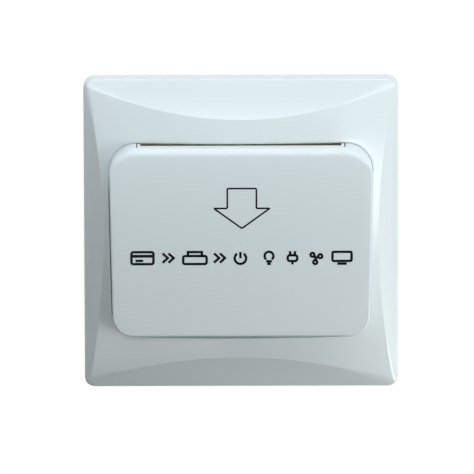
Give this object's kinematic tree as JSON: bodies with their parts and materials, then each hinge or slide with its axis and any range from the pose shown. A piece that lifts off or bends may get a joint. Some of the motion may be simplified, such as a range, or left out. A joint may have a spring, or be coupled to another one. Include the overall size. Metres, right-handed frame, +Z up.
{
  "type": "hotel key card switch",
  "caption": "Square flush wall switch with a crowned frame and a proud slotted pocket; a key card pushed in from above presses a sprung lever that works a small switch and relay.",
  "frame": {"origin": "midway between the two wall-screw slots, in the wall plane", "axes": "+Z up along the card slot, +X to the right seen from the front, +Y into the wall (the front faces -Y)"},
  "size_m": [0.086, 0.0486, 0.086],
  "materials": {
    "white_shell": "cool white satin-gloss moulded plastic",
    "inner_plastic": "off-white matt moulded plastic",
    "steel": "zinc-plated steel",
    "brass": "bright brass",
    "board_green": "green board lacquer",
    "black_moulding": "matt black moulding",
    "can_sleeve": "shrunk plastic sleeve",
    "plunger_red": "red moulded plastic",
    "relay_blue": "blue moulded case",
    "film_yellow": "yellow moulded case",
    "varistor_blue": "dipped blue lacquer",
    "fuse_brown": "brown moulded can",
    "resistor_tan": "tan lacquer",
    "block_green": "green moulded plastic"
  },
  "bodies": {
    "base": {"front_frame": "white_shell", "pocket_cover": "white_shell", "card_guide": "inner_plastic", "lever_pin": "steel", "lever_spring": "steel", "cover_screws": "steel", "panel_screws": "steel", "mounting_yoke": "inner_plastic", "rear_housing": "inner_plastic", "housing_screws": "steel", "circuit_board": "board_green", "board_screws": "steel", "microswitch_case": "black_moulding", "relay": "relay_blue", "film_capacitor": "film_yellow", "electrolytic_capacitor": "can_sleeve", "varistor": "varistor_blue", "fuse": "fuse_brown", "bridge_rectifier": "black_moulding", "resistors": "resistor_tan", "control_chip": "black_moulding", "terminal_block": "block_green", "terminal_clamps": "brass", "terminal_screws": "steel"},
    "lever": {"card_lever": "inner_plastic"},
    "switch_leaf": {"microswitch_leaf": "steel"},
    "switch_plunger": {"microswitch_plunger": "plunger_red"}
  },
  "joints": [
    {"name": "card_lever_pivot", "type": "hinge", "parent": "base", "child": "lever", "pos_m": [0, -0.008, 0.004], "axis": [1, 0, 0], "range_deg": [0, 9.5], "stiffness_Nm_per_rad": 0.02, "springref_deg": -8.59, "deforming": ["lever_spring"]},
    {"name": "switch_leaf_pivot", "type": "hinge", "parent": "base", "child": "switch_leaf", "pos_m": [0, -0.005, -0.0195], "axis": [1, 0, 0], "range_deg": [-7, 0]},
    {"name": "switch_plunger_slide", "type": "slide", "parent": "base", "child": "switch_plunger", "axis": [0, 1, 0], "range_m": [0, 0.0009]}
  ],
  "couplings": [
    {"joint": "switch_leaf_pivot", "follows": "card_lever_pivot", "ratio": -0.716},
    {"joint": "switch_plunger_slide", "follows": "card_lever_pivot", "m_per_rad": 0.00542}
  ]
}
